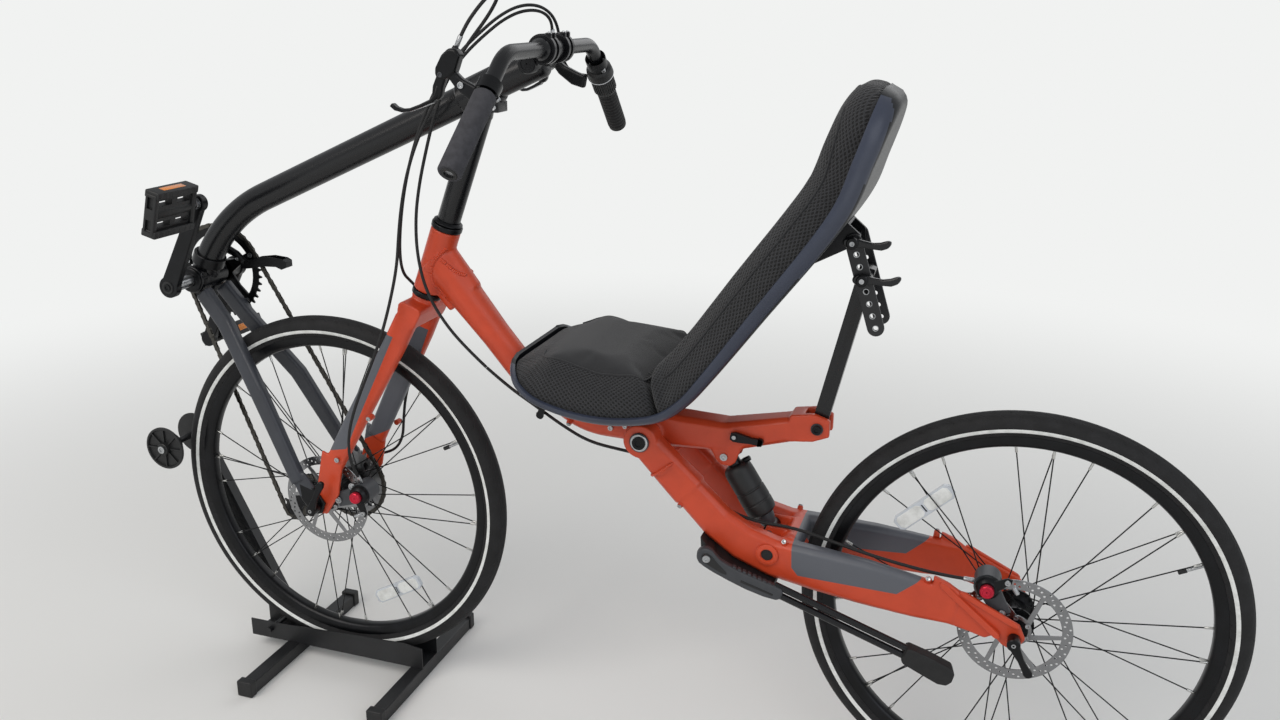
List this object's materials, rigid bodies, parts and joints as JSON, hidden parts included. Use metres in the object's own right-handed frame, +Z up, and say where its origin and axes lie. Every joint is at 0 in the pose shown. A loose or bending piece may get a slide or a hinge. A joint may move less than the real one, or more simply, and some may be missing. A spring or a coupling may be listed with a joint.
{
  "type": "recumbent bicycle",
  "caption": "Recumbent bicycle with front-wheel drive, a bucket seat, a sprung swingarm and disc brakes, its front wheel held in a floor stand.",
  "frame": {"origin": "on the floor under the middle of the overall length, in the centre plane of the frame", "axes": "+X to the rear of the bicycle, +Y to the rider's right, +Z up"},
  "size_m": [1.8336, 0.65, 1.193],
  "materials": {
    "frame_orange": "satin powder coat, burnt orange",
    "black_satin": "satin black anodise or paint",
    "stay_grey": "satin dark grey paint",
    "stand_black": "black powder coat",
    "black_plastic": "moulded black plastic",
    "foam": "charcoal foam grip",
    "rubber_black": "black rubber",
    "tyre_black": "black tyre with a pale reflective band",
    "steel": "bright steel",
    "alloy_black": "black anodised",
    "shell": "satin black composite shell",
    "mesh_fabric": "black spacer mesh",
    "smooth_fabric": "smooth black coated fabric",
    "lens": "clear reflector lens"
  },
  "bodies": {
    "front_end": {"stand_bars": "stand_black", "stand_caps": "rubber_black", "stand_tray": "stand_black", "stand_arm": "stand_black", "stand_discs": "rubber_black", "fork": "frame_orange", "chainstays": "stay_grey", "bottom_bracket": "black_satin", "boom": "black_satin", "riser": "black_satin", "handlebar": "black_satin", "bar_clamps": "black_satin", "grips": "foam", "shifters": "black_plastic", "brake_levers": "alloy_black", "front_caliper": "alloy_black", "front_skewer": "alloy_black", "chain": "steel", "rear_derailleur": "alloy_black", "front_derailleur": "alloy_black", "front_cables": "rubber_black", "rear_brake_loop": "rubber_black", "derailleur_wheels": "black_plastic"},
    "frame": {"main_frame": "frame_orange", "headset_cups": "black_satin", "swingarm": "frame_orange", "pivot_bolt": "steel", "shock": "black_satin", "seat_shell": "shell", "seat_base_cushion": "smooth_fabric", "seat_back_cushion": "mesh_fabric", "seat_brackets": "black_satin", "seat_strut": "black_satin", "strut_plates": "black_satin", "seat_back_bracket": "black_satin", "quick_levers": "black_satin", "rear_caliper": "alloy_black", "rear_skewer": "alloy_black", "kickstand_bracket": "black_plastic", "rear_brake_hose": "rubber_black"},
    "front_wheel": {"front_tyre": "tyre_black", "front_rim": "alloy_black", "front_spokes": "alloy_black", "front_hub": "alloy_black", "front_rotor": "steel", "front_reflector": "lens"},
    "rear_wheel": {"rear_tyre": "tyre_black", "rear_rim": "alloy_black", "rear_spokes": "alloy_black", "rear_hub": "alloy_black", "rear_rotor": "steel", "rear_reflector": "lens"},
    "cassette": {"cassette": "steel"},
    "crankset": {"crank_left": "alloy_black", "crank_right": "alloy_black", "chainring": "alloy_black", "crank_spindle": "steel"},
    "pedal_left": {"pedal_left": "black_plastic"},
    "pedal_right": {"pedal_right": "black_plastic"},
    "kickstand": {"kickstand": "black_satin"}
  },
  "joints": [
    {"name": "steering", "type": "hinge", "parent": "front_end", "child": "frame", "pos_m": [-0.319, 0, 0.83], "axis": [0.3453, 0, 0.9385], "range_deg": [-40, 40], "deforming": ["rear_brake_loop"]},
    {"name": "front_wheel_spin", "type": "hinge", "parent": "front_end", "child": "front_wheel", "pos_m": [-0.548, 0, 0.3455], "axis": [0, 1, 0], "continuous": true},
    {"name": "rear_wheel_spin", "type": "hinge", "parent": "frame", "child": "rear_wheel", "pos_m": [0.59567, 0, 0.318], "axis": [0, 1, 0], "continuous": true},
    {"name": "crank_spin", "type": "hinge", "parent": "front_end", "child": "crankset", "pos_m": [-0.795, 0, 0.713], "axis": [0, 1, 0], "continuous": true},
    {"name": "cassette_spin", "type": "hinge", "parent": "front_end", "child": "cassette", "pos_m": [-0.548, 0, 0.3455], "axis": [0, 1, 0], "continuous": true},
    {"name": "pedal_left_spin", "type": "hinge", "parent": "crankset", "child": "pedal_left", "pos_m": [-0.71881, -0.12, 0.85936], "axis": [0, 1, 0], "continuous": true},
    {"name": "pedal_right_spin", "type": "hinge", "parent": "crankset", "child": "pedal_right", "pos_m": [-0.87119, 0.12, 0.56664], "axis": [0, 1, 0], "continuous": true},
    {"name": "kickstand_swing", "type": "hinge", "parent": "frame", "child": "kickstand", "pos_m": [0.14351, -0.078, 0.37928], "axis": [-0.1961, 0.9806, 0], "range_deg": [0, 82]}
  ],
  "couplings": [
    {"joint": "cassette_spin", "follows": "crank_spin", "ratio": 1.25}
  ]
}
